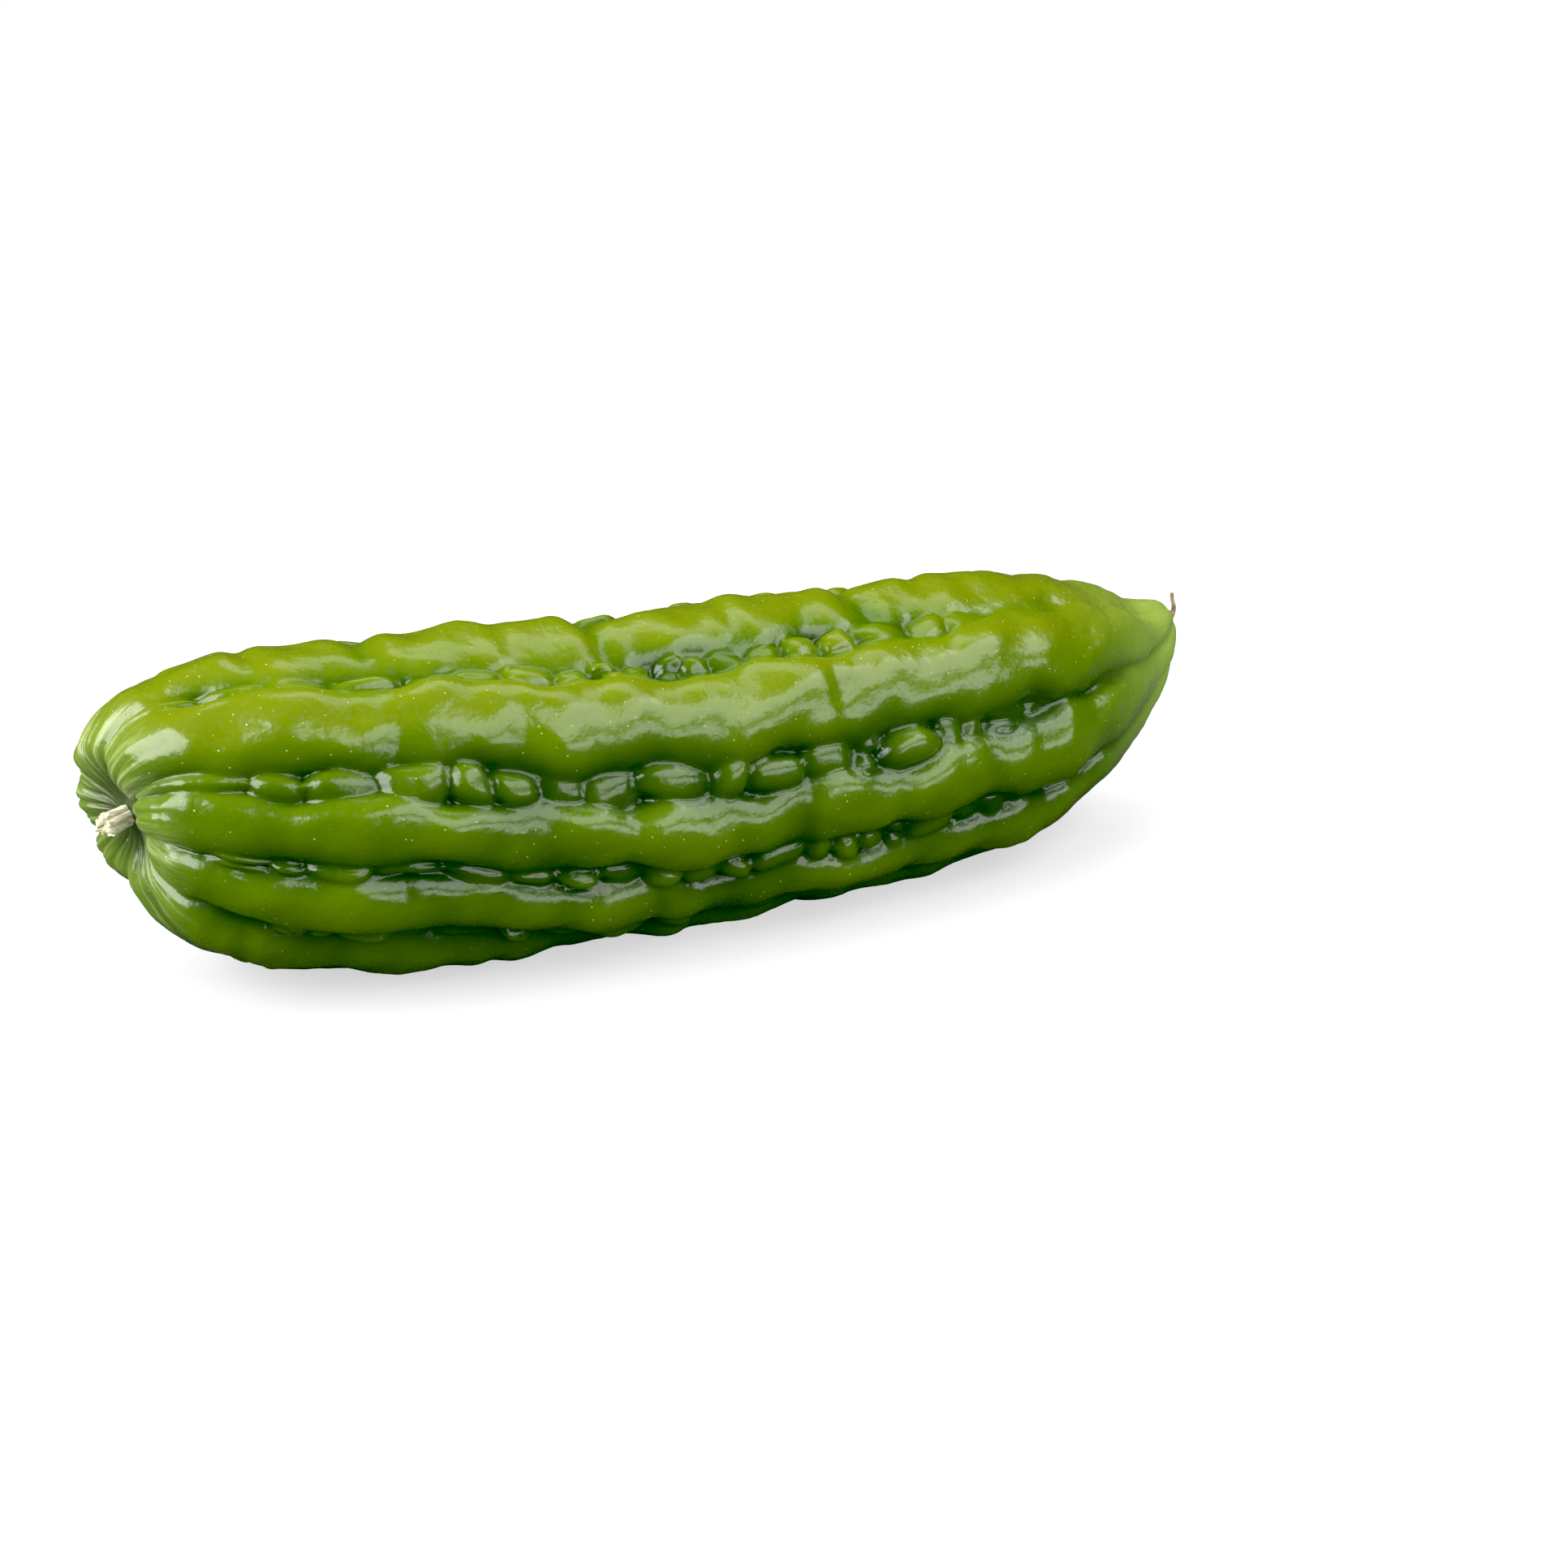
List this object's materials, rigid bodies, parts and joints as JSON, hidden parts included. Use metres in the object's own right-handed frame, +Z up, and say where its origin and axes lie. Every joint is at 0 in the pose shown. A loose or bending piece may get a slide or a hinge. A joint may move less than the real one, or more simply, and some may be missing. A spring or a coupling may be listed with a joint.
{
  "type": "bitter gourd",
  "caption": "Whole bitter gourd lying on its side, a long curved fruit with lengthwise ridges, furrows filled with warts, a cut stem end and a tapered blossom tip.",
  "frame": {"origin": "on the floor, under the centre of the bounding box in plan", "axes": "+X along the fruit from the stem end to the blossom tip, +Z up, and the middle of the fruit bows towards -Y"},
  "size_m": [0.2604, 0.0786, 0.0683],
  "materials": {
    "skin": "glossy waxy green skin",
    "stem_fibre": "dry pale torn fibre",
    "dried_style": "dry brown, matt"
  },
  "bodies": {
    "root": {"fruit": "skin", "cut_stem": "stem_fibre", "dried_style": "dried_style"}
  },
  "joints": []
}
